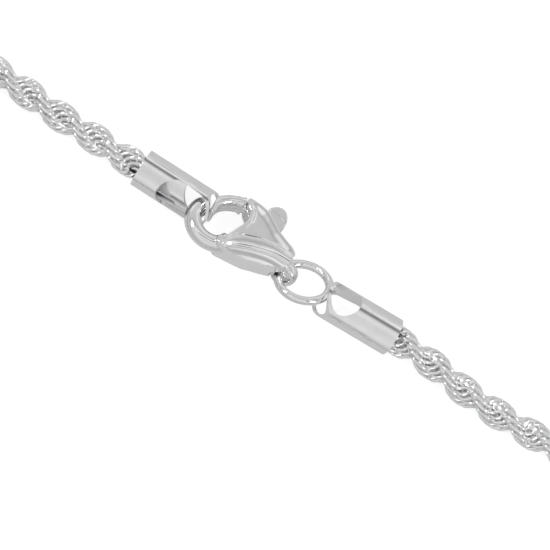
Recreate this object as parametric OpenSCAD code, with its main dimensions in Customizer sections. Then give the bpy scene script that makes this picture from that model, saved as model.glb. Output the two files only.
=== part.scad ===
// Rope chain necklace, closed with a lobster clasp and lying on a table.
// The clasp is in the middle of the frame, the chain leaves it to the upper left
// and the lower right, and its spare length is wound into a coil on the left.
// +Z is up and the table is z = 0.

/* [Rope chain] */
// Diameter of the rope chain
rope_d = 2.5; // [2.4:0.05:2.6]

/* [End caps] */
// Outside diameter of an end cap
cap_d = 3.2; // [3.2:0.02:3.24]
// Wall thickness of an end cap
cap_wall = 0.24; // [0.2:0.01:0.26]
// Distance from the chain end of a cap to the middle of its eye
eye_x = 5.15; // [5.1:0.01:5.2]
// Diameter of the round eye
eye_d = 2.70; // [2.6:0.01:2.7]
// Width of the long opening across from the eye
scoop_d = 2.84; // [2.74:0.01:2.84]

/* [Jump ring] */
// Wire diameter of the jump ring
ring_wire = 0.7; // [0.6:0.01:0.72]
// Diameter of the jump ring at the middle of its wire
ring_d = 4.24; // [4.2:0.01:4.28]

/* [Clasp] */
// Thickness of the clasp body
clasp_t = 2.1; // [2:0.05:2.2]
// Diameter of the hook's bar
hook_d = 1.4; // [1.3:0.05:1.4]
// Thickness of the lever inside the body
lever_t = 0.9; // [0.8:0.05:0.9]
// Diameter of the lever's pivot pin
pin_d = 0.8; // [0.7:0.05:0.8]

/* [Hidden] */
$fn = 48;

// ---------- where each piece sits ----------
// Chain end of each cap, its heading on the table, its rise towards the eye
// and how far it is rolled about its own axis.
cap_r = cap_d / 2;
left_heading = -32.6;
left_rise = 1.8;
left_roll = 31;
left_at = [-10.02, 6.83, cap_r];
right_heading = 149.5;
right_rise = 12;
right_roll = 214;
right_at = [10.11, -6.76, cap_r * cos(right_rise)];
// Jump ring: centre, heading of the line where it is level, tilt of its plane.
ring_at = [3, -2.38, 2.78];
ring_heading = -16;
ring_tilt = -48;
// Clasp: centre, heading, fall towards the tail, tilt of its face.
clasp_at = [-2.01, 0.88, 3.08];
clasp_heading = -26.2;
clasp_fall = 2.9;
clasp_tilt = -34.8;

// ---------- end cap ----------
cap_bore = cap_r - cap_wall;
cap_l = eye_x + cap_r;
scoop_x = 3.5;
solder_x = 0.9;
solder_l = 0.8;
solder_grip = 0.01;

// ---------- clasp, in its own frame: X to the tail, Y to the lever, Z to the face ----------
// Hook: an arc of round bar about this centre, between these two angles.
hook_at = [-2.4, 0.55];
hook_r = 1.95;
hook_tip = 150;
hook_root = 318;
nose_step = 0.14;
// Outline of the body from the gate's root, round the tail, to the hook's root.
body_outline = [[-0.85, 3.54], [0.2, 3.43], [1, 3.15], [1.6, 2.68], [2.5, 1.86],
                [3.3, 1.36], [3.5, 1], [3.5, 0], [3.4, -1.05], [2.5, -1.4], [1.7, -1.6],
                [0.9, -1.78], [0, -1.8], [-0.9, -1.85], [-1.5, -1.7], [-1.5, -0.7],
                [-1.06, -0.21], [-0.8, 0.34], [-0.5, 0.9], [-0.28, 1.6], [-0.3, 2.33], [-0.66, 2.85]];
// Tongue on the face side that carries the tail eyelet.
tongue_outline = [[3, 1.4], [3.94, 1.05], [4.5, 0.72], [4.55, 0.2], [4.3, -0.6], [3.4, -0.9], [3, -0.5]];
tongue_z = 0.02;
// Tail eyelet: a short barrel around the ring's wire.
eyelet_turn = 165;
eyelet_d = 2.3;
eyelet_hole = 1.24;
eyelet_l = 1.1;
eyelet_shift = 0.35;
// Lever: gate arm outside the body, web and thumb tab in the body's slot.
pin_at = [1, 1.6];
pin_run = 0.04;
slot_gap = 0.08;
slot_t = lever_t + 2 * slot_gap;
slot_outline = [[-1.5, 4.6], [-1.5, 2], [-0.6, 0.95], [0.2, 0.55], [1.6, 0.6], [2.15, 1], [3.3, 2.2], [3.2, 4.6]];
gate_outline = [[-3.2, 2.25], [-3.05, 2.72], [-2.39, 3.16], [-1.61, 3.43], [-1, 3.52], [-1, 2.8],
                [-1.45, 2.72], [-2.1, 2.4], [-2.65, 2], [-2.85, 1.6], [-2.9, 1.1], [-3.05, 0.8],
                [-3.22, 0.9], [-3.2, 1.5]];
gate_t = 1.7;
web_outline = [[-1.3, 3.47], [-0.85, 3.5], [0.2, 3.38], [0.8, 3.2], [1.04, 3.9], [1.35, 4.25],
               [1.75, 4.4], [2.15, 4.36], [2.5, 4], [2.68, 3.5], [2.65, 2.9], [2.35, 2.2],
               [1.6, 1.2], [0.9, 0.98], [0.4, 1.3], [-0.3, 2.1], [-0.75, 2.72], [-1.3, 2.8]];
// Leaf spring under the lever, between the pin and the opening.
spring_t = 0.12;
spring_w = 0.7;
spring_at = [0.25, 0.1];
spring_r = 0.85;
spring_from = 40;
spring_turn = 100;

// ---------- chain route, along the middle of the rope ----------
coil_at = [-38, 1.9];
coil_in = 12;
coil_out = 14.5;
coil_layers = 2;
route_left = [[-9.3, 6.3, 1.62], [-10.1, 6.8, 1.58], [-11.4, 7.6, 1.4], [-14, 9.3, 1.25],
              [-16.8, 11.1, 1.25], [-19.3, 12.9, 1.25], [-21.3, 14.3, 1.25], [-23.2, 15.5, 1.25],
              [-24.6, 16.1, 1.25], [-26.2, 16.4, 1.25], [-29, 16.4, 1.25], [-31, 16.4, 1.25]];
route_right = [[-43.3, -13.3, 3], [-42, -14.6, 2.2], [-40, -16.6, 1.5], [-37.6, -19, 1.25],
               [-34, -22.3, 1.25], [-30.5, -24.6, 1.25], [-26.5, -26, 1.25], [-22, -26.6, 1.25],
               [-15, -26.6, 1.25], [-7, -26.6, 1.25], [1, -26.6, 1.25], [9, -26.6, 1.25],
               [16, -26.6, 1.25], [21.4, -26.6, 1.25], [23.5, -26.2, 1.25], [25.3, -25, 1.25],
               [26.5, -23.2, 1.25], [26.9, -21.1, 1.25], [26.5, -19, 1.25], [25.6, -17.5, 1.25],
               [24.2, -16.4, 1.25], [22, -15, 1.25], [19.1, -13.3, 1.25], [16.3, -11.4, 1.25],
               [14, -9.5, 1.25], [12.5, -8.4, 1.3], [11.2, -7.5, 1.42], [10.1, -6.75, 1.6],
               [9.3, -6.3, 1.78]];
rope_sides = 8;

// ---------- helpers ----------
function unit(v) = v / norm(v);
function forward(route, i) =
    unit(route[min(i + 1, len(route) - 1)] - route[max(i - 1, 0)]);
function rope_ring(route, i) =
    let (ahead = forward(route, i),
         side = unit(cross(ahead, [0, 0, 1])),
         up = cross(side, ahead))
    [for (k = [0 : rope_sides - 1])
        let (turn = 360 * (k + 0.5) / rope_sides)
        route[i] + rope_d / 2 * (cos(turn) * side + sin(turn) * up)];

// A tube swept along a route, closed by a flat face at each end.
module rope(route) {
    last = (len(route) - 1) * rope_sides;
    walls = [for (i = [0 : len(route) - 2]) for (k = [0 : rope_sides - 1])
        let (next = (k + 1) % rope_sides, a = i * rope_sides, b = a + rope_sides)
        [a + k, a + next, b + next, b + k]];
    ends = [[for (k = [rope_sides - 1 : -1 : 0]) k],
            [for (k = [0 : rope_sides - 1]) last + k]];
    polyhedron(points = [for (i = [0 : len(route) - 1]) each rope_ring(route, i)],
               faces = concat(walls, ends), convexity = 6);
}

module at_cap(at, heading, rise, roll) {
    translate(at) rotate([0, 0, heading]) rotate([0, -rise, 0]) rotate([roll, 0, 0]) children();
}
module at_left() {
    at_cap(left_at, left_heading, left_rise, left_roll) children();
}
module at_right() {
    at_cap(right_at, right_heading, right_rise, right_roll) children();
}
module at_ring() {
    translate(ring_at) rotate([0, 0, ring_heading]) rotate([ring_tilt, 0, 0]) children();
}
module at_clasp() {
    translate(clasp_at) rotate([0, 0, clasp_heading]) rotate([0, clasp_fall, 0])
        rotate([clasp_tilt, 0, 0]) children();
}
module slab(outline, thick) {
    linear_extrude(thick, center = true) polygon(outline);
}

// ---------- end cap: a tube along X with a round tip, an eye and a long opening ----------
module end_cap() {
    color("#d5d6d9")
    difference() {
        intersection() {
            rotate([0, 90, 0]) cylinder(h = cap_l, r = cap_r);
            union() {
                translate([0, -cap_r, -cap_r]) cube([eye_x, cap_d, cap_d]);
                translate([eye_x, 0, -cap_r]) cylinder(h = cap_d, r = cap_r);
            }
        }
        translate([-1, 0, 0]) rotate([0, 90, 0]) cylinder(h = cap_l + 2, r = cap_bore);
        translate([eye_x, 0, -cap_d]) cylinder(h = cap_d, d = eye_d);
        translate([eye_x, 0, 0]) cylinder(h = cap_d, d = scoop_d - 0.12);
        translate([scoop_x, 0, 0]) cylinder(h = cap_d, d = scoop_d);
        translate([scoop_x, -scoop_d / 2, 0]) cube([eye_x - scoop_x - 0.1, scoop_d, cap_d]);
    }
}

module solder() {
    color("#a9abb0")
    translate([solder_x, 0, 0]) rotate([0, 90, 0]) cylinder(h = solder_l, r = cap_bore + solder_grip);
}

// ---------- jump ring ----------
module jump_ring() {
    color("#dcdde0")
    rotate_extrude() translate([ring_d / 2, 0]) circle(d = ring_wire, $fn = 24);
}

// ---------- clasp ----------
module hook() {
    translate([hook_at[0], hook_at[1], 0]) {
        rotate_extrude(angle = hook_root - hook_tip, start = hook_tip, $fn = 96)
            translate([hook_r, 0]) circle(d = hook_d, $fn = 64);
        translate(hook_r * [cos(hook_tip), sin(hook_tip), 0]) sphere(d = hook_d - nose_step, $fn = 64);
    }
}

// The barrel stands around the ring's wire, so it is placed from the ring.
module at_eyelet() {
    at_ring() rotate([0, 0, eyelet_turn]) translate([ring_d / 2, 0, 0]) rotate([90, 0, 0]) children();
}

module clasp_body() {
    color("#e0e1e4")
    difference() {
        union() {
            at_clasp() {
                difference() {
                    slab(body_outline, clasp_t);
                    slab(slot_outline, slot_t);
                }
                hook();
                translate([0, 0, tongue_z]) linear_extrude(clasp_t / 2 - tongue_z) polygon(tongue_outline);
            }
            at_eyelet() translate([-eyelet_shift, 0, 0]) cylinder(h = eyelet_l, d = eyelet_d, center = true);
        }
        at_eyelet() cylinder(h = 3 * eyelet_l, d = eyelet_hole, center = true);
        at_clasp() translate([pin_at[0], pin_at[1], 0]) cylinder(h = 2 * clasp_t, d = pin_d, center = true);
    }
}

module clasp_lever() {
    color("#cfd0d4")
    at_clasp() difference() {
        union() {
            slab(gate_outline, gate_t);
            slab(web_outline, lever_t);
        }
        translate([pin_at[0], pin_at[1], 0])
            cylinder(h = 2 * lever_t, r = pin_d / 2 + pin_run, center = true);
    }
}

module pivot_pin() {
    color("#b9bbc0")
    at_clasp() translate([pin_at[0], pin_at[1], 0]) cylinder(h = clasp_t, d = pin_d, center = true);
}

module lever_spring() {
    color("#8f9298")
    at_clasp() translate([spring_at[0], spring_at[1], -spring_w / 2])
        rotate_extrude(angle = spring_turn, start = spring_from)
            translate([spring_r, 0]) square([spring_t, spring_w]);
}

// ---------- chain ----------
module chain_coil() {
    color("#c9cace")
    translate([coil_at[0], coil_at[1], 0]) rotate_extrude($fn = 96)
        translate([coil_in - rope_d / 2, 0]) square([coil_out - coil_in + rope_d, coil_layers * rope_d]);
}
module chain_run(route) {
    color("#c9cace") rope(route);
}

clasp_body();
clasp_lever();
pivot_pin();
lever_spring();
at_ring() jump_ring();
at_left() end_cap();  // end_cap_left
at_right() end_cap();  // end_cap_right
at_left() solder();  // solder_left
at_right() solder();  // solder_right
chain_run(route_left);  // chain_left
chain_coil();
chain_run(route_right);  // chain_right
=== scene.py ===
# Rope chain necklace, closed with a lobster clasp and lying on a table.
import math
import bmesh
import bpy
from mathutils import Matrix, Vector, noise


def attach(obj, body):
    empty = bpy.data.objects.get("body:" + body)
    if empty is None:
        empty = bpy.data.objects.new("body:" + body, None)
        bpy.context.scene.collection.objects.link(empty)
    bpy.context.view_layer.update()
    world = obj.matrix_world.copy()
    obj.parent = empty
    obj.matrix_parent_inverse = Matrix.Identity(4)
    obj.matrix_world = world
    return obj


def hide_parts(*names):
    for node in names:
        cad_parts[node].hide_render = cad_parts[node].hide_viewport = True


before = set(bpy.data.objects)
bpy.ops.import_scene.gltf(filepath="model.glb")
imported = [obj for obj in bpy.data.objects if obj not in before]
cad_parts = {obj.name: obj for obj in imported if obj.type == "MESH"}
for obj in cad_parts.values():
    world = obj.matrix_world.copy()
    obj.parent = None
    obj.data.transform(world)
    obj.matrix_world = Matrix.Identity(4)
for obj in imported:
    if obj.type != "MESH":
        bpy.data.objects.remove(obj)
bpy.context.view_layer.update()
MM = 0.001
# One fixed seed, so that the rope's links lie the same in every run.
noise.seed_set(1)

# ---------------------------------------------------------------- camera
SENSOR = 36.0
VIEW_WIDTH = 0.044
VIEW_DISTANCE = 0.4
cam_data = bpy.data.cameras.new("camera")
cam_data.lens = SENSOR * VIEW_DISTANCE / VIEW_WIDTH
cam_data.sensor_width = SENSOR
cam_data.clip_start = 0.01
cam = bpy.data.objects.new("camera", cam_data)
cam.location = (0.00070, -0.001785, 0.402)
cam.rotation_euler = (0.0, 0.0, 0.0)
bpy.context.scene.collection.objects.link(cam)
bpy.context.scene.camera = cam


# ---------------------------------------------------------------- places
# Each frame puts a piece drawn at the origin, in millimetres, where it lies on the table.
CAP_R = 1.6
RING_R = 2.12
EYELET_TURN = 165
RIGHT_RISE = 12


def rot(axis, deg):
    return Matrix.Rotation(math.radians(deg), 4, axis)


def cap_frame(at, heading, rise, roll):
    return Matrix.Translation(at) @ rot("Z", heading) @ rot("Y", -rise) @ rot("X", roll)


LEFT = cap_frame((-10.02, 6.83, CAP_R), -32.6, 1.8, 31)
RIGHT = cap_frame((10.11, -6.76, CAP_R * math.cos(math.radians(RIGHT_RISE))), 149.5, RIGHT_RISE, 214)
RING = Matrix.Translation((3, -2.38, 2.78)) @ rot("Z", -16) @ rot("X", -48)
CLASP = Matrix.Translation((-2.01, 0.88, 3.08)) @ rot("Z", -26.2) @ rot("Y", 2.9) @ rot("X", -34.8)
EYELET = RING @ rot("Z", EYELET_TURN) @ Matrix.Translation((RING_R, 0, 0)) @ rot("X", 90)
TO_CLASP = CLASP.inverted() @ EYELET


# ---------------------------------------------------------------- mesh tools, all in millimetres
def new_object(name, verts, faces):
    mesh = bpy.data.meshes.new(name)
    mesh.from_pydata([tuple(v) for v in verts], [], faces)
    mesh.validate()
    o = bpy.data.objects.new(name, mesh)
    bpy.context.scene.collection.objects.link(o)
    fix_normals(o)
    return o


def fix_normals(o):
    bm = bmesh.new()
    bm.from_mesh(o.data)
    bmesh.ops.recalc_face_normals(bm, faces=bm.faces)
    bm.to_mesh(o.data)
    bm.free()


def applied(o):
    graph = bpy.context.evaluated_depsgraph_get()
    mesh = bpy.data.meshes.new_from_object(o.evaluated_get(graph), depsgraph=graph)
    old = o.data
    o.modifiers.clear()
    o.data = mesh
    bpy.data.meshes.remove(old)
    return o


def bevel(o, width, segments, angle):
    m = o.modifiers.new("bevel", "BEVEL")
    m.width = width
    m.segments = segments
    m.limit_method = "ANGLE"
    m.angle_limit = math.radians(angle)
    m.use_clamp_overlap = True
    return applied(o)


def boolean(o, tool, operation="DIFFERENCE"):
    m = o.modifiers.new("bool", "BOOLEAN")
    m.operation = operation
    m.solver = "EXACT"
    m.object = tool
    applied(o)
    bpy.data.objects.remove(tool)
    return o


def joined(name, parts):
    bm = bmesh.new()
    for p in parts:
        bm.from_mesh(p.data)
    mesh = bpy.data.meshes.new(name)
    bm.to_mesh(mesh)
    bm.free()
    for p in parts:
        bpy.data.objects.remove(p)
    o = bpy.data.objects.new(name, mesh)
    bpy.context.scene.collection.objects.link(o)
    return o


def remeshed(o, voxel, smooth, factor):
    """Melts joined pieces into one skin, then softens it."""
    m = o.modifiers.new("voxel", "REMESH")
    m.mode = "VOXEL"
    m.voxel_size = voxel
    m.use_smooth_shade = True
    s = o.modifiers.new("smooth", "SMOOTH")
    s.iterations = smooth
    s.factor = factor
    return applied(o)


def placed(o, matrix):
    """Puts a piece drawn in its own frame, in millimetres, where it belongs, in metres."""
    o.data.transform(Matrix.Scale(MM, 4) @ matrix)
    o.data.update()
    return o


def shaded(o, material, angle=None):
    o.data.materials.clear()
    o.data.materials.append(material)
    for f in o.data.polygons:
        f.use_smooth = True
    if angle is not None:
        o.data.set_sharp_from_angle(angle=math.radians(angle))
    return o


def rounded(points, per, closed=True):
    """A Catmull-Rom curve through given points."""
    pts = [Vector(p) for p in points]
    n = len(pts)
    out = []
    spans = n if closed else n - 1
    for i in range(spans):
        if closed:
            a, b, c, d = pts[i - 1], pts[i], pts[(i + 1) % n], pts[(i + 2) % n]
        else:
            a, b, c, d = pts[max(i - 1, 0)], pts[i], pts[i + 1], pts[min(i + 2, n - 1)]
        for k in range(per):
            t = k / per
            bend = (2 * a - 5 * b + 4 * c - d) * t * t
            twist = (3 * b - a - 3 * c + d) * t ** 3
            out.append(0.5 * (2 * b + (c - a) * t + bend + twist))
    if not closed:
        out.append(pts[-1].copy())
    return out


def arc(x, y, radius, start, end, step):
    """Points round a centre, from one whole degree up to and including another."""
    turns = [math.radians(a) for a in range(start, end + 1, step)]
    return [(x + radius * math.cos(a), y + radius * math.sin(a)) for a in turns]


def skin(base, rows, sides, closed=False):
    """Quads over rings of vertices, the first at index base; closed joins the last ring to the first."""
    faces = []
    for i in range(rows if closed else rows - 1):
        here, there = base + i * sides, base + (i + 1) % rows * sides
        for k in range(sides):
            m = (k + 1) % sides
            faces.append((here + k, there + k, there + m, here + m))
    return faces


def slab(name, outline, low, high):
    """A flat plate: an outline in x and y, between two heights."""
    n = len(outline)
    verts = [(p[0], p[1], low) for p in outline] + [(p[0], p[1], high) for p in outline]
    faces = [tuple(range(n))[::-1], tuple(range(n, 2 * n))]
    faces += [(i, (i + 1) % n, n + (i + 1) % n, n + i) for i in range(n)]
    return new_object(name, verts, faces)


def cylinder(name, radius, low, high, sides, matrix):
    turns = [2 * math.pi * k / sides for k in range(sides)]
    o = slab(name, [(radius * math.cos(a), radius * math.sin(a)) for a in turns], low, high)
    o.data.transform(matrix)
    return o


def tube(name, centres, radii, sides):
    """A round bar along points. Rings that shrink at an end make it domed."""
    verts = []
    n = len(centres)
    for i, c in enumerate(centres):
        ahead = (centres[min(i + 1, n - 1)] - centres[max(i - 1, 0)]).normalized()
        side = ahead.cross(Vector((0, 0, 1))).normalized()
        top = side.cross(ahead)
        for k in range(sides):
            a = 2 * math.pi * k / sides
            verts.append(c + radii[i] * (math.cos(a) * side + math.sin(a) * top))
    ends = [tuple(range(sides))[::-1], tuple(range((n - 1) * sides, n * sides))]
    return new_object(name, verts, skin(0, n, sides) + ends)


def torus(name, major, minor, around, section, stretch=1.0):
    verts = []
    for i in range(around):
        a = 2 * math.pi * i / around
        for k in range(section):
            b = 2 * math.pi * k / section
            r = major + minor * math.cos(b)
            verts.append((r * math.cos(a), r * math.sin(a), stretch * minor * math.sin(b)))
    return new_object(name, verts, skin(0, around, section, closed=True))


# ---------------------------------------------------------------- materials
def node_material(name):
    m = bpy.data.materials.new(name)
    m.use_nodes = True
    nodes, links = m.node_tree.nodes, m.node_tree.links
    return m, nodes, links, nodes["Principled BSDF"]


def noise_map(nodes, links, coord, size, turn, scale, detail, roughness=0.5):
    """Noise over object coordinates, stretched and turned; size is in cells per metre."""
    spread = nodes.new("ShaderNodeMapping")
    spread.inputs["Scale"].default_value = size
    spread.inputs["Rotation"].default_value = turn
    links.new(coord.outputs["Object"], spread.inputs["Vector"])
    pattern = nodes.new("ShaderNodeTexNoise")
    pattern.inputs["Scale"].default_value = scale
    pattern.inputs["Detail"].default_value = detail
    pattern.inputs["Roughness"].default_value = roughness
    links.new(spread.outputs["Vector"], pattern.inputs["Vector"])
    return pattern.outputs["Fac"]


def metal(name, tint, rough_low, rough_high, scratch, grain=0.0, wear=0.06):
    """Polished white metal: fine wiping marks in its gloss, hair scratches and faint tarnish."""
    m, nodes, links, bsdf = node_material(name)
    bsdf.inputs["Metallic"].default_value = 1.0
    coord = nodes.new("ShaderNodeTexCoord")
    even = (1000, 1000, 1000)

    cloud = noise_map(nodes, links, coord, even, (0, 0, 0), 0.9, 4)
    tones = nodes.new("ShaderNodeValToRGB")
    tones.color_ramp.elements[0].position = 0.3
    tones.color_ramp.elements[0].color = (*[c * (1 - wear) for c in tint], 1)
    tones.color_ramp.elements[1].position = 0.7
    tones.color_ramp.elements[1].color = (*tint, 1)
    links.new(cloud, tones.inputs["Fac"])
    links.new(tones.outputs["Color"], bsdf.inputs["Base Color"])

    hair = noise_map(nodes, links, coord, (900, 5200, 2600), (0.3, 0.2, 0.7), 3.0, 6, 0.65)
    gloss = nodes.new("ShaderNodeMapRange")
    gloss.inputs["From Min"].default_value = 0.3
    gloss.inputs["From Max"].default_value = 0.7
    gloss.inputs["To Min"].default_value = rough_low
    gloss.inputs["To Max"].default_value = rough_high
    links.new(hair, gloss.inputs["Value"])
    links.new(gloss.outputs["Result"], bsdf.inputs["Roughness"])

    height = hair
    if grain:
        pits = noise_map(nodes, links, coord, even, (0, 0, 0), 9.0, 3)
        add = nodes.new("ShaderNodeMath")
        add.operation = "MULTIPLY_ADD"
        add.inputs[1].default_value = grain
        links.new(pits, add.inputs[0])
        links.new(height, add.inputs[2])
        height = add.outputs["Value"]
    bump = nodes.new("ShaderNodeBump")
    bump.inputs["Strength"].default_value = scratch
    bump.inputs["Distance"].default_value = 0.00005
    links.new(height, bump.inputs["Height"])
    links.new(bump.outputs["Normal"], bsdf.inputs["Normal"])
    return m


POLISH = metal("polished_clasp", (0.93, 0.93, 0.935), 0.05, 0.14, 0.05)
CAP = metal("polished_cap", (0.92, 0.92, 0.925), 0.12, 0.16, 0.012)
WIRE = metal("polished_ring", (0.94, 0.94, 0.945), 0.04, 0.11, 0.04)
LINK = metal("rope_links", (0.98, 0.98, 0.985), 0.05, 0.14, 0.05)
LEVER = metal("polished_lever", (0.92, 0.92, 0.925), 0.05, 0.13, 0.05)
PIN = metal("pin_metal", (0.85, 0.85, 0.86), 0.12, 0.24, 0.08)
SPRING = metal("spring_steel", (0.55, 0.56, 0.58), 0.2, 0.35, 0.1)
SOLDER = metal("solder", (0.72, 0.73, 0.75), 0.3, 0.5, 0.3, grain=1.5, wear=0.25)


# ---------------------------------------------------------------- rope chain
ROPE_R = 1.25
COIL = Vector((-38, 1.9))
OUTER_R = 14.5
INNER_R = 12
UPPER_LAYER = 3 * ROPE_R
ROUTE_LEFT = [(-9.3, 6.3, 1.62), (-10.1, 6.8, 1.58), (-11.4, 7.6, 1.4), (-14, 9.3, 1.25),
              (-16.8, 11.1, 1.25), (-19.3, 12.9, 1.25), (-21.3, 14.3, 1.25), (-23.2, 15.5, 1.25),
              (-24.6, 16.1, 1.25), (-26.2, 16.4, 1.25), (-29, 16.4, 1.25), (-31, 16.4, 1.25),
              (-34.5, 16.4, 1.25)]
ROUTE_RIGHT = [(-45.4, -11.2, 3.75), (-44, -12.6, 3.5), (-43.3, -13.3, 3), (-42, -14.6, 2.2),
               (-40, -16.6, 1.5), (-37.6, -19, 1.25),
               (-34, -22.3, 1.25), (-30.5, -24.6, 1.25), (-26.5, -26, 1.25), (-22, -26.6, 1.25),
               (-15, -26.6, 1.25), (-7, -26.6, 1.25), (1, -26.6, 1.25), (9, -26.6, 1.25),
               (16, -26.6, 1.25), (21.4, -26.6, 1.25), (23.5, -26.2, 1.25), (25.3, -25, 1.25),
               (26.5, -23.2, 1.25), (26.9, -21.1, 1.25), (26.5, -19, 1.25), (25.6, -17.5, 1.25),
               (24.2, -16.4, 1.25), (22, -15, 1.25), (19.1, -13.3, 1.25), (16.3, -11.4, 1.25),
               (14, -9.5, 1.25), (12.5, -8.4, 1.3), (11.2, -7.5, 1.42), (10.1, -6.75, 1.6),
               (9.3, -6.3, 1.78)]


def ease(x, a, b, low, high):
    t = min(max((x - a) / (b - a), 0), 1)
    return low + (high - low) * t * t * (3 - 2 * t)


def coil_points():
    """Two turns on the table, the second inside the first, and two more lying on top of them."""
    pts = []
    for turn in range(180, 1396, 15):
        radius = ease(turn, 470, 540, OUTER_R, INNER_R) + ease(turn, 1160, 1230, 0, OUTER_R - INNER_R)
        height = ease(turn, 800, 870, ROPE_R, UPPER_LAYER)
        a = math.radians(turn)
        pts.append((COIL.x + radius * math.sin(a), COIL.y - radius * math.cos(a), height))
    return pts


ROUTE = [Vector(p) for p in ROUTE_LEFT + coil_points() + ROUTE_RIGHT]
FINE = rounded(ROUTE, 12, closed=False)


def walk(points, step):
    """Points at an even spacing along a polyline, with the direction at each."""
    out = []
    left = 0.0
    total = 0.0
    for a, b in zip(points, points[1:]):
        d = (b - a).length
        while left <= d:
            out.append((a.lerp(b, left / d if d else 0), (b - a).normalized(), total + left))
            left += step
        left -= d
        total += d
    return out, total


LINK_STEP = 0.47
LINK_R = 0.93
LINK_WIRE = 0.15
LINK_LEAN = 82
LINK_TIP = 26
PITCH = 6.5
CORE_AT = 0.5
CORE_R = 0.42
CORE_SIDES = 10
CORE_STEP = 0.3
CUT = 1.225
ON_TABLE = 0.004


def circle(count, offset=0.0):
    turns = [2 * math.pi * (k + offset) / count for k in range(count)]
    return [(math.cos(a), math.sin(a)) for a in turns]


def strand_axes(ahead, s, strand):
    """Out from the rope's middle to a strand, and round the rope, at a distance s along it."""
    side = ahead.cross(Vector((0, 0, 1))).normalized()
    up = side.cross(ahead)
    phi = 2 * math.pi * (s / PITCH) + math.pi * strand
    return math.cos(phi) * up + math.sin(phi) * side, -math.sin(phi) * up + math.cos(phi) * side


def link_verts(centre, ahead, s, strand, tip_side, spokes, wire):
    """One round link. It leans along its strand and tips over sideways."""
    out, tang = strand_axes(ahead, s, strand)
    jitter = noise.noise_vector(Vector((s * 1.7, strand * 9.1, 0.3)))
    lean = math.radians(LINK_LEAN + 3 * jitter.x)
    tip = math.radians(tip_side * LINK_TIP + 3 * jitter.y)
    along = math.cos(lean) * tang + math.sin(lean) * ahead
    across = -math.sin(lean) * tang + math.cos(lean) * ahead
    lift = math.cos(tip) * out + math.sin(tip) * across
    normal = lift.cross(along)
    middle = centre + out * (ROPE_R - LINK_WIRE - LINK_R * math.cos(tip) + 0.02 * jitter.z)
    verts = []
    for c, sn in spokes:
        spoke = c * lift + sn * along
        for wc, ws in wire:
            v = middle + spoke * (LINK_R + LINK_WIRE * wc) + normal * (LINK_WIRE * ws)
            # The faces of a rope chain are cut smooth, so nothing stands out past the cut.
            rel = v - centre
            radial = rel - ahead * rel.dot(ahead)
            if radial.length > CUT:
                v = v - radial * ((radial.length - CUT) / radial.length)
            v.z = max(v.z, ON_TABLE)
            verts.append(v)
    return verts


def core_verts(stations, strand):
    """The inner halves of the links are packed too close to tell apart: one ribbed bar per strand."""
    verts = []
    for centre, ahead, s in stations:
        out, tang = strand_axes(ahead, s, strand)
        r = CORE_R * (0.85 + 0.15 * math.cos(2 * math.pi * s / LINK_STEP))
        for c, sn in circle(CORE_SIDES):
            verts.append(centre + out * (CORE_AT + r * c) + tang * (r * sn))
    return verts


def rope_chain():
    """Links in two strands, half a turn apart, that twist round each other."""
    stations, total = walk(FINE, LINK_STEP)
    around, section = 24, 8
    spokes, wire = circle(around), circle(section, 0.5)
    verts, faces = [], []
    for centre, ahead, s in stations:
        tip_side = ease(s, 0.45 * total, 0.55 * total, 1, -1)
        for strand in (0, 1):
            faces += skin(len(verts), around, section, closed=True)
            verts += link_verts(centre, ahead, s, strand, tip_side, spokes, wire)
    core, _ = walk(FINE, CORE_STEP)
    for strand in (0, 1):
        base, last = len(verts), len(verts) + (len(core) - 1) * CORE_SIDES
        faces += [(a, d, c, b) for a, b, c, d in skin(base, len(core), CORE_SIDES)]
        faces += [tuple(range(base, base + CORE_SIDES))[::-1], tuple(range(last, last + CORE_SIDES))]
        verts += core_verts(core, strand)
    mesh = bpy.data.meshes.new("rope_chain")
    mesh.from_pydata([v * MM for v in verts], [], faces)
    o = bpy.data.objects.new("rope_chain", mesh)
    bpy.context.scene.collection.objects.link(o)
    return o, total


rope, rope_length = rope_chain()
shaded(rope, LINK)
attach(rope, "necklace")
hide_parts("chain_left", "chain_coil", "chain_right")


# ---------------------------------------------------------------- end caps
CAP_LENGTH = 6.75
CAP_BORE = 1.36
EYE_X = 5.15
EYE_R = 1.35
SCOOP_X = 3.5
SCOOP_R = 1.42


def end_cap(name, matrix):
    """A sleeve over the rope's end. Its tip is round, drilled through below and scooped open above."""
    body = cylinder(name, CAP_R, 0, CAP_LENGTH, 128, rot("Y", 90))
    side = CAP_R + 0.001
    tip = [(-1, -side), (EYE_X, -side)]
    turns = [math.radians(turn) for turn in range(3, 178, 3)]
    tip += [(EYE_X + CAP_R * math.sin(a), -CAP_R * math.cos(a)) for a in turns]
    tip += [(EYE_X, side), (-1, side)]
    boolean(body, slab("tip", tip, -3, 3), "INTERSECT")
    boolean(body, cylinder("bore", CAP_BORE, -1, 8, 128, rot("Y", 90)))
    boolean(body, cylinder("eye", EYE_R, -3, 0, 96, Matrix.Translation((EYE_X, 0, 0))))
    scoop = arc(SCOOP_X, 0, SCOOP_R, 90, 270, 4) + arc(EYE_X, 0, CAP_BORE, -90, 90, 4)
    boolean(body, slab("scoop", scoop, 0, 3))
    bevel(body, 0.1, 4, 30)
    placed(body, matrix)
    shaded(body, CAP, 40)
    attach(body, "necklace")
    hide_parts(name.replace("cap_", "end_cap_"))


end_cap("cap_left", LEFT)
end_cap("cap_right", RIGHT)

# ---------------------------------------------------------------- jump ring
RING_WIRE = 0.35
SEAM_TURN = math.radians(70)
SEAM_REACH = 0.04
SEAM_SHRINK = 0.93

ring = torus("ring_wire", RING_R, RING_WIRE, 160, 32)
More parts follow.
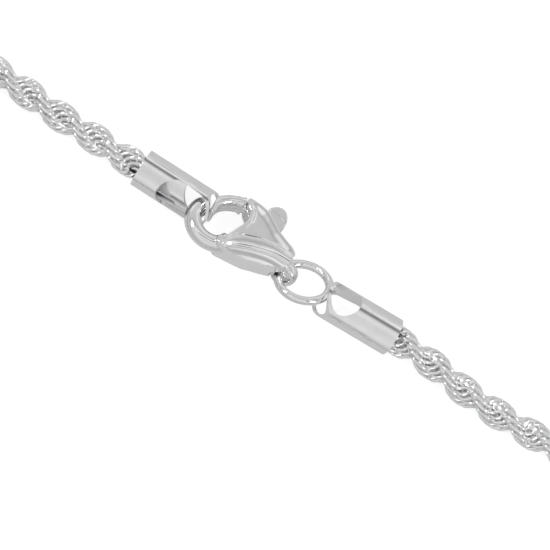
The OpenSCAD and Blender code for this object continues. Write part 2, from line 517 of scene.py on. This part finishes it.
# The cut where the ring was opened and closed again: a hair groove on the far side.
for v in ring.data.vertices:
    off_seam = math.atan2(v.co.y, v.co.x) - SEAM_TURN
    if abs(off_seam * RING_R) < SEAM_REACH:
        flat = Vector((v.co.x, v.co.y, 0)).normalized() * RING_R
        v.co = flat + (v.co - flat) * SEAM_SHRINK
placed(ring, RING)
shaded(ring, WIRE)
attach(ring, "ring")
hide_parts("jump_ring")

# ---------------------------------------------------------------- clasp body
HOOK = Vector((-2.4, 0.55, 0))
HOOK_R = 1.95
PLATE_LOW = -1.02
PLATE_HIGH = 1.08
FACE = 1.06
LOW_FACE = 0.93
SLOT_HALF = 0.53
PIN_R = 0.4
PIN_AT = Matrix.Translation((1, 1.6, 0))
CLASP_EYE_R = 0.89
CLASP_EYE_WIRE = 0.27
CLASP_EYE_HOLE = 0.62
BODY = [(-0.85, 3.54), (0.2, 3.43), (1, 3.15), (1.6, 2.68), (2.5, 1.86), (3.37, 1.33), (3.94, 1.0),
        (4.3, 0.6), (4.3, 0), (4.1, -0.7), (3.6, -1.08), (2.58, -1.4), (1.75, -1.58), (0.9, -1.78),
        (0, -1.8), (-0.9, -1.78), (-1.7, -1.72), (-1.9, -1.1), (-1.36, -0.75), (-1.06, -0.21),
        (-0.8, 0.34), (-0.5, 0.9), (-0.28, 1.6), (-0.34, 2.33), (-0.74, 2.85)]
SLOT = [(-1.5, 4.6), (-1.5, 2), (-0.6, 0.95), (0.2, 0.55), (1.6, 0.6), (2.15, 1), (3.3, 2.2), (3.2, 4.6)]
GROOVE_TOP = [(-1.6, -1.6), (-1.07, -1.06), (-0.6, -0.45), (-0.2, -0.1), (0.96, 0.29), (1.5, 0.45),
              (2.68, 0.41), (3.67, 0.13), (4.6, -0.1)]
GROOVE_LOW = [(-1.2, -1.5), (-0.68, -1.16), (0.87, -0.61), (2.52, -0.31), (3.8, -0.43), (4.6, -0.6)]
CREST = BODY[:8]
RIM = [(-0.66, 2.85), (-0.3, 2.33), (-0.28, 1.6), (-0.5, 0.9), (-0.8, 0.34), (-1.06, -0.21), (-1.36, -0.75)]


def above(line, x, y):
    """Signed distance from a line of points, positive on its left when it is walked from its start."""
    best, sign = 1e9, 1
    p = Vector((x, y))
    for a, b in zip(line, line[1:]):
        a, b = Vector(a), Vector(b)
        d = b - a
        t = min(max((p - a).dot(d) / d.dot(d), 0), 1)
        gap = p - a - d * t
        if gap.length < best:
            best = gap.length
            sign = 1 if d.x * (p.y - a.y) - d.y * (p.x - a.x) > 0 else -1
    return best * sign


def apart(line, x, y):
    return abs(above(line, x, y))


def hill(d, width):
    """One where d is zero, falling off smoothly over the width."""
    return math.exp(-(d / width) ** 2)


def dip(d, start, width):
    """Nothing up to the start, then rising smoothly to one."""
    return 1 - hill(max(d - start, 0), width)


def hook_bar():
    """The hook is thickest where it leaves the body and ends in a dome under the gate."""
    centres, radii = [], []
    for turn in range(318, 149, -4):
        a = math.radians(turn)
        centres.append(HOOK + HOOK_R * Vector((math.cos(a), math.sin(a), 0)))
        radii.append(0.7 + 0.2 * max(0, (turn - 285) / 33) - 0.06 * max(0, (200 - turn) / 50))
    end, step = centres[-1], (centres[-1] - centres[-2]).normalized()
    r = radii[-1]
    for turn in range(10, 90, 10):
        a = math.radians(turn)
        centres.append(end + step * r * math.sin(a))
        radii.append(r * math.cos(a))
    return tube("hook", centres, radii, 32)


def eye_and_neck():
    """The eye the jump ring passes through, and the bar that carries it from the body."""
    eye = torus("eye", CLASP_EYE_R, CLASP_EYE_WIRE, 96, 24, 2.0)
    eye.data.transform(Matrix.Translation((-0.3, 0, 0)))
    eye.data.transform(TO_CLASP)
    hub = TO_CLASP @ Vector((-0.95, 0, 0))
    bend = hub.lerp(Vector((3.3, 0.1, 0)), 0.35)
    bar = [Vector((2.6, 0.2, 0.1)), Vector((3.3, 0.12, 0.0)), bend, hub]
    return [eye, tube("neck", bar, [0.95, 0.8, 0.62, 0.42], 24)]


def face_height(x, y, top_line, low_line):
    """A hollow field above the upper groove, a band between the grooves, a slope below them."""
    top, low = above(top_line, x, y), above(low_line, x, y)
    if top >= 0:
        spread = dip(apart(CREST, x, y), 0.12, 0.5) * dip(apart(RIM, x, y), 0.2, 0.26)
        height = FACE - 0.2 * spread - 0.11 * hill(top - 0.13, 0.11)
    elif low >= 0:
        across = top / (top - low)
        height = FACE - 0.15 * across * across
    else:
        down = -low
        hollow = math.sin(math.pi * min(down / 0.8, 1))
        height = LOW_FACE - 0.10 * hill(down - 0.10, 0.09) - 0.30 * down - 0.05 * hollow
    # The face runs out towards the hook, which stays round.
    return height + 0.5 * min(max((-1.0 - x) / 0.9, 0), 1)


def carve_face(o):
    top_line = rounded(GROOVE_TOP, 3, closed=False)
    low_line = rounded(GROOVE_LOW, 3, closed=False)
    moved = set()
    for v in o.data.vertices:
        x, y, z = v.co
        if z > 0.3 and x > -1.9 and y > -2:
            height = face_height(x, y, top_line, low_line)
            if z > height:
                v.co.z = height
                moved.add(v.index)
    return moved


def even_out(o, moved):
    """Softens the carved vertices and clears the slivers between them."""
    bm = bmesh.new()
    bm.from_mesh(o.data)
    bm.verts.ensure_lookup_table()
    picked = [v for v in bm.verts if v.index in moved and len(v.link_faces) > 2]
    for _ in range(4):
        bmesh.ops.smooth_vert(bm, verts=picked, factor=0.5,
                              use_axis_x=False, use_axis_y=False, use_axis_z=True)
    bmesh.ops.remove_doubles(bm, verts=bm.verts, dist=0.012)
    bmesh.ops.dissolve_degenerate(bm, edges=bm.edges, dist=0.005)
    bm.to_mesh(o.data)
    bm.free()
    o.data.update()


def clasp_body():
    plate = bevel(slab("plate", rounded(BODY, 5), PLATE_LOW, PLATE_HIGH), 0.5, 5, 50)
    o = remeshed(joined("clasp", [plate, hook_bar(), *eye_and_neck()]), 0.045, 8, 0.6)
    boolean(o, slab("slot", SLOT, -SLOT_HALF, SLOT_HALF))
    boolean(o, cylinder("hole", CLASP_EYE_HOLE, -1.6, 1.6, 64, TO_CLASP))
    boolean(o, cylinder("bore", PIN_R, -2, 0.8, 48, PIN_AT))
    even_out(o, carve_face(o))
    return o


clasp = placed(clasp_body(), CLASP)
shaded(clasp, POLISH, 50)
normals = clasp.modifiers.new("even", "WEIGHTED_NORMAL")
normals.keep_sharp = True
normals.weight = 90
applied(clasp)
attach(clasp, "clasp")
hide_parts("clasp_body")

# ---------------------------------------------------------------- lever
GATE_HALF = 0.85
GATE_EDGE = 0.34
GATE_FROM = -0.95
WEB_HALF = 0.45
TAB_HALF = 0.5
RIB_STEP = 0.38
RIB_REACH = 0.16
RIB_DEPTH = 0.045
GATE = [(-3.26, 2.25), (-3.1, 2.8), (-2.42, 3.27), (-1.61, 3.53), (-1.02, 3.57), (-1.02, 2.8),
        (-1.45, 2.72), (-2.1, 2.4), (-2.65, 2), (-2.85, 1.6), (-2.9, 1.1), (-3.05, 0.8),
        (-3.22, 0.9), (-3.2, 1.5)]
WEB = [(-1.3, 3.47), (-0.85, 3.5), (0.2, 3.38), (0.8, 3.2), (1.04, 3.9), (1.35, 4.25),
       (1.75, 4.4), (2.15, 4.36), (2.5, 4), (2.68, 3.5), (2.65, 2.9), (2.35, 2.2),
       (1.6, 1.2), (0.9, 0.98), (0.4, 1.3), (-0.3, 2.1), (-0.75, 2.72), (-1.3, 2.8)]
TAB = [(0.98, 3.75), (1.14, 4.05), (1.4, 4.28), (1.75, 4.4), (2.15, 4.36), (2.48, 4.02),
       (2.66, 3.55), (2.62, 3.2), (1.9, 3.55)]
INSIDE = [(-1, 2.8), (-1.45, 2.72), (-2.1, 2.4), (-2.65, 2), (-2.85, 1.6), (-2.9, 1.1), (-3.05, 0.8)]
MIDDLE = [(-0.93, 3.2), (-1.55, 3.12), (-2.25, 2.82), (-2.87, 2.36), (-3.03, 1.9), (-3.06, 1.5), (-3.1, 1.1)]


def gate_half(x, y):
    """Half the gate's thickness: domed along its middle line, full where it meets the web."""
    part = min((GATE_FROM - x) / 0.4, 1)
    round_off = math.sqrt(max(1 - (apart(MIDDLE, x, y) / 0.46) ** 2, 0))
    dome = GATE_EDGE + (GATE_HALF - GATE_EDGE) * round_off
    return GATE_HALF - part * (GATE_HALF - dome)


def clasp_lever():
    gate = bevel(slab("gate", rounded(GATE, 4), -GATE_HALF, GATE_HALF), 0.32, 5, 50)
    web = bevel(slab("web", rounded(WEB, 4), -WEB_HALF, WEB_HALF), 0.1, 3, 50)
    tab = bevel(slab("tab", rounded(TAB, 4), -TAB_HALF, TAB_HALF), 0.24, 4, 50)
    o = remeshed(joined("lever", [gate, web, tab]), 0.04, 4, 0.5)
    boolean(o, cylinder("bore", PIN_R + 0.04, -2, 2, 48, PIN_AT))
    for v in o.data.vertices:
        x, y, z = v.co
        if x < GATE_FROM:
            v.co.z = math.copysign(min(abs(z), gate_half(x, y)), z)
        # Fine grooves on the gate's inner edge.
        if x < -1.05 and abs(z) < 0.3:
            near = min(apart(INSIDE, x, y) / RIB_REACH, 1)
            wave = 0.5 - 0.5 * math.cos(2 * math.pi * z / RIB_STEP)
            dent = RIB_DEPTH * wave * (1 - near)
            v.co.x -= dent * 0.5
            v.co.y += dent * 0.86
    return o


lever = placed(clasp_lever(), CLASP)
shaded(lever, LEVER, 50)
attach(lever, "lever")
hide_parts("clasp_lever")

# ---------------------------------------------------------------- pin
PIN_LOW = -1.0
PIN_HIGH = 0.78

pin = bevel(cylinder("pin", PIN_R, PIN_LOW, PIN_HIGH, 48, PIN_AT), 0.06, 3, 40)
placed(pin, CLASP)
shaded(pin, PIN, 50)
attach(pin, "clasp")
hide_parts("pivot_pin")

# ---------------------------------------------------------------- solder
PLUG_BACK = 0.88
PLUG_FRONT = 1.7
PLUG_DOME = 0.12
PLUG_LUMPS = 0.10


def solder_plug(name, matrix):
    """Solder inside a cap: flat against the rope, a lumpy dome towards the eye."""
    rings, sides = 14, 48
    half = rings * sides
    verts, faces = [], []
    for front in (0, 1):
        for i in range(rings):
            r = CAP_BORE * (i + 1) / rings
            for k in range(sides):
                a = 2 * math.pi * k / sides
                y, z = r * math.cos(a), r * math.sin(a)
                lump = PLUG_LUMPS * noise.noise(Vector((y * 1.6, z * 1.6, 3.0 * front)))
                dome = PLUG_DOME * (1 - (r / CAP_BORE) ** 2)
                verts.append((PLUG_FRONT + lump + dome if front else PLUG_BACK, y, z))
    for base, x in ((0, PLUG_BACK), (half, PLUG_FRONT + PLUG_DOME)):
        middle = len(verts)
        verts.append((x, 0, 0))
        faces += [(middle, base + k, base + (k + 1) % sides) for k in range(sides)]
        faces += skin(base, rings, sides)
    for k in range(sides):
        a, b = half - sides + k, half - sides + (k + 1) % sides
        faces.append((a, b, b + half, a + half))
    o = placed(new_object(name, verts, faces), matrix)
    shaded(o, SOLDER, 60)
    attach(o, "necklace")
    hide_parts(name.replace("plug", "solder"))


solder_plug("plug_left", LEFT)
solder_plug("plug_right", RIGHT)

# ---------------------------------------------------------------- spring
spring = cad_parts["lever_spring"]
spring.data.materials.clear()
spring.data.materials.append(SPRING)

# ---------------------------------------------------------------- table
TABLE = 0.6

corners = [(-TABLE, -TABLE, 0), (TABLE, -TABLE, 0), (TABLE, TABLE, 0), (-TABLE, TABLE, 0)]
floor = new_object("table", corners, [(0, 1, 2, 3)])
# The paper glows more towards the camera than into the metal's reflections.
paper, nodes, links, bsdf = node_material("white_paper")
bsdf.inputs["Base Color"].default_value = (0.5, 0.5, 0.5, 1)
bsdf.inputs["Roughness"].default_value = 0.9
bsdf.inputs["Emission Color"].default_value = (1, 1, 1, 1)
rays = nodes.new("ShaderNodeLightPath")
glow = nodes.new("ShaderNodeMapRange")
glow.inputs["To Min"].default_value = 0.18
glow.inputs["To Max"].default_value = 0.74
links.new(rays.outputs["Is Camera Ray"], glow.inputs["Value"])
links.new(glow.outputs["Result"], bsdf.inputs["Emission Strength"])
floor.data.materials.append(paper)

# ---------------------------------------------------------------- light
world = bpy.data.worlds.new("studio")
bpy.context.scene.world = world
world.use_nodes = True
nodes, links = world.node_tree.nodes, world.node_tree.links
back = nodes["Background"]
coord = nodes.new("ShaderNodeTexCoord")
split = nodes.new("ShaderNodeSeparateXYZ")
links.new(coord.outputs["Generated"], split.inputs["Vector"])


def tent(stops):
    """Brightness of the light tent from the horizon (0) to overhead (1)."""
    ramp = nodes.new("ShaderNodeValToRGB")
    elements = ramp.color_ramp.elements
    elements[0].position, elements[0].color = stops[0][0], (*[stops[0][1]] * 3, 1)
    elements[1].position, elements[1].color = stops[-1][0], (*[stops[-1][1]] * 3, 1)
    for position, value in stops[1:-1]:
        e = elements.new(position)
        e.color = (value, value, value, 1)
    links.new(split.outputs["Z"], ramp.inputs["Fac"])
    return ramp.outputs["Color"]


gap_side = tent([(0.0, 0.5), (0.07, 1.1), (0.17, 0.68), (0.34, 0.58), (0.50, 0.58), (0.62, 0.40),
                 (0.74, 0.72), (0.83, 1.0), (0.866, 0.22), (0.905, 0.08), (0.93, 0.72), (0.96, 0.86),
                 (1.0, 0.66)])
plain_side = tent([(0.0, 0.42), (0.3, 0.62), (0.45, 0.35), (0.55, 0.64), (0.78, 0.66), (0.88, 0.80),
                   (1.0, 0.66)])
# The side with the tent's dark gap is the one towards the upper right of the view.
facing = nodes.new("ShaderNodeVectorMath")
facing.operation = "DOT_PRODUCT"
facing.inputs[1].default_value = (0.80, 0.60, 0.0)
links.new(coord.outputs["Generated"], facing.inputs[0])
share = nodes.new("ShaderNodeMapRange")
share.interpolation_type = "SMOOTHSTEP"
share.inputs["From Min"].default_value = 0.02
share.inputs["From Max"].default_value = 0.30
links.new(facing.outputs["Value"], share.inputs["Value"])
mix = nodes.new("ShaderNodeMix")
mix.data_type = "RGBA"
links.new(share.outputs["Result"], mix.inputs[0])
links.new(plain_side, mix.inputs[6])
links.new(gap_side, mix.inputs[7])
links.new(mix.outputs[2], back.inputs["Color"])
back.inputs["Strength"].default_value = 1.0


def softbox(name, at, size, energy):
    """A strip light that looks at the middle of the table."""
    data = bpy.data.lights.new(name, "AREA")
    data.shape = "RECTANGLE"
    data.size, data.size_y = size
    data.energy = energy
    o = bpy.data.objects.new(name, data)
    o.location = at
    o.rotation_euler = (-Vector(at)).to_track_quat("-Z", "Y").to_euler()
    bpy.context.scene.collection.objects.link(o)


softbox("key", (-0.20, 0.28, 0.30), (0.20, 0.035), 0.42)
softbox("fill", (0.30, -0.22, 0.28), (0.035, 0.20), 0.26)
bpy.context.scene.view_settings.view_transform = "Standard"
